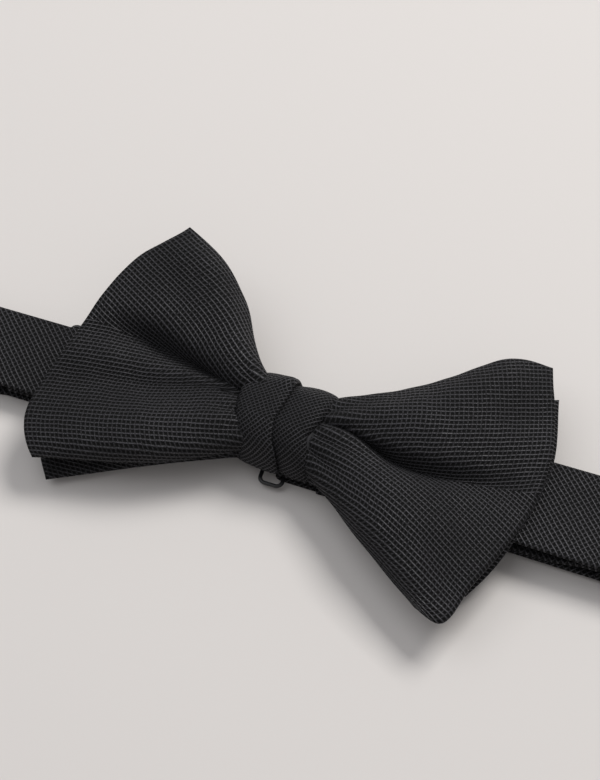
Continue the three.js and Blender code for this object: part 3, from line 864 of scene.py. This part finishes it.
knot_points = knot_grid()
knot_columns = knot_points.shape[1]
middle = slice(knot_columns // 2, knot_columns // 2 + 1)
knot_round = np.repeat(running(knot_points, 0)[:, middle], knot_columns, axis=1)
knot_across = running(knot_points, 1)
knot_uv = turned(cell_uv(knot_round, knot_across - knot_across[:, middle]), BIAS)
knot_uv = knot_uv * KNOT_TIGHTNESS
knot = envelope("knot", knot_points, knot_uv, KNOT_PLY, KNOT_RIM, CLOTH, ends=False, place=bow_point)
finish_piece(knot, "tie", "bow_cloth", "knot_wrap")
lining_loop = curve_through([(0, y, z) for y, z in KNOT_LOOP], np.linspace(0.18, 0.9, 60))
lining_x = np.linspace(-KNOT_LINING_HALF, KNOT_LINING_HALF, 12)
lining_points = np.repeat(lining_loop[:, None, :], len(lining_x), axis=1)
lining_points[..., 0] = lining_x
lining_points -= grid_normals(lining_points) * KNOT_LINING_DEPTH
lining_uv = cell_uv(running(lining_points, 0), running(lining_points, 1))
knot_lining = envelope(
    "knot_lining", lining_points, lining_uv, KNOT_PLY, KNOT_RIM, FELT, place=bow_point
)
finish_piece(knot_lining, "tie", "interlining", "knot_interlining")

# ---- Threads and wire ----
GATHER_HALF_Y, GATHER_HALF_Z = 7.2, 2.6
GATHER_START, GATHER_PITCH = 0.8, 0.9  # from the node's left side to the first turn, and on to the next
GATHER_RADIUS = 0.28
STITCH_RADIUS, TACK_RADIUS = 0.15, 0.16
STITCH_SIDE, STITCH_END = 0.15, 0.4  # from the node's sides to the stitches, and from its ends
STITCH_SLANT = 0.35  # as a share of the pitch
STITCH_DIP = 0.12  # how much lower a stitch's ends lie than its middle
CLOSING_DEPTH = 0.1  # of the closing stitches below the top of their node
CLOSING_COUNT, TACK_COUNT = 10, 26

gather_low, gather_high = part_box("gather_thread")
middle_y = (gather_low.y + gather_high.y) / 2 / MM
middle_z = (gather_low.z + gather_high.z) / 2 / MM
turns = []
for turn in range(3):
    turn_x = gather_low.x / MM + GATHER_START + GATHER_PITCH * turn
    angles = np.linspace(0, 2 * np.pi, 40, endpoint=False)
    ring = [
        (turn_x, middle_y + GATHER_HALF_Y * math.cos(a), middle_z + GATHER_HALF_Z * math.sin(a))
        for a in angles
    ]
    turns.append((ring, True))
tubes("gathering_thread", turns, GATHER_RADIUS, THREAD, "tie", "thread", "gather_thread")
stitch_low, stitch_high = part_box("knot_closing_stitch")


def slant_stitches(low, high, z, count):
    """Short stitches across a node, a little slanted, as runs for tubes."""
    x0, x1 = low.x / MM + STITCH_SIDE, high.x / MM - STITCH_SIDE
    ys = np.linspace(low.y / MM + STITCH_END, high.y / MM - STITCH_END, count)
    pitch = ys[1] - ys[0]
    slant, sunk = STITCH_SLANT * pitch, z - STITCH_DIP
    return [([(x0, y - slant, sunk), ((x0 + x1) / 2, y, z), (x1, y + slant, sunk)], False) for y in ys]


closing = slant_stitches(stitch_low, stitch_high, stitch_high.z / MM - CLOSING_DEPTH, CLOSING_COUNT)
tubes("closing_stitches", closing, STITCH_RADIUS, THREAD, "tie", "thread", "knot_closing_stitch")
for made, node, body in (
    ("eye_tack_stitches", "left_loop_bartack", "left_return"),
    ("slider_tack_stitches", "slider_bartack", "slider"),
):
    low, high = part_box(node)
    tack = slant_stitches(low, high, low.z / MM + STITCH_DIP, TACK_COUNT)
    tubes(made, tack, TACK_RADIUS, THREAD, body, "thread", node)


def box_frame(low, high, z, radius=1.4):
    """The middle line of a wire that fills a node's box in plan."""
    return rounded_frame(
        low.x / MM + wire_half, high.x / MM - wire_half, low.y / MM + wire_half, high.y / MM - wire_half,
        radius, z,
    )


eye_frame = box_frame(eye_low, eye_high, eye_z)
tubes("eye_wire", [(eye_frame, True)], wire_half, ENAMEL, "eye", "hardware", "eye_ring")

hook_low, hook_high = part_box("hook")
HOOK_RING = 6.4  # length of the hook's ring along X
HOOK_THROAT = 1.25  # clear gap inside the tongue's bend
TONGUE_BACK = 5.8  # how far the tongue runs back over itself
TONGUE_HALF = 4.0
hook_ring_low = Vector((hook_high.x - HOOK_RING * MM, hook_low.y, 0))
hook_frame = box_frame(hook_ring_low, hook_high, eye_z)
hook_root = hook_ring_low.x / MM + wire_half
bend_radius = (HOOK_THROAT + 2 * wire_half) / 2
bend_x = hook_low.x / MM + wire_half + bend_radius
tongue_top = eye_z + 2 * bend_radius
tongue_path = joined(
    straight(hook_root, eye_z, bend_x + TURN_OFFSET, eye_z),
    half_turn((bend_x, eye_z + bend_radius), (bend_radius, bend_radius), 270, 90, 12),
    straight(bend_x + TURN_OFFSET, tongue_top, bend_x + TONGUE_BACK, tongue_top),
)
tubes("hook_wire", [(hook_frame, True)], wire_half, ENAMEL, "hook", "hardware", "hook")
tongue = ribbon("hook_tongue", tongue_path, TONGUE_HALF, 2 * wire_half, ENAMEL, rim=0.4, crown=0.0)
finish_piece(tongue, "hook", "hardware", "hook")

BAR_BEND = 0.6
slider_frame_points = box_frame(slider_low, slider_high, wire_half)
near_end, far_end = slider_low.y / MM + wire_half, slider_high.y / MM - wire_half
bar = [
    (slider_bar, near_end, wire_half),
    (slider_bar, near_end, bar_z - BAR_BEND),
    (slider_bar, near_end + BAR_BEND, bar_z),
    (slider_bar, far_end - BAR_BEND, bar_z),
    (slider_bar, far_end, bar_z - BAR_BEND),
    (slider_bar, far_end, wire_half),
]
tubes(
    "slider_frame", [(slider_frame_points, True), (bar, False)], wire_half, ENAMEL, "slider", "hardware",
    "adjuster_slider",
)

# ---- The CAD nodes wear the same materials ----
WORN = {"bow_cloth": CLOTH, "band_cloth": CLOTH, "interlining": FELT, "thread": THREAD, "hardware": ENAMEL}
for part in frame["record"]["subparts"]:
    shape = frame["nodes"][part["node"]].data
    shape.materials.clear()
    shape.materials.append(WORN[part["material_slot"]])

bpy.context.scene.view_settings.view_transform = "Standard"
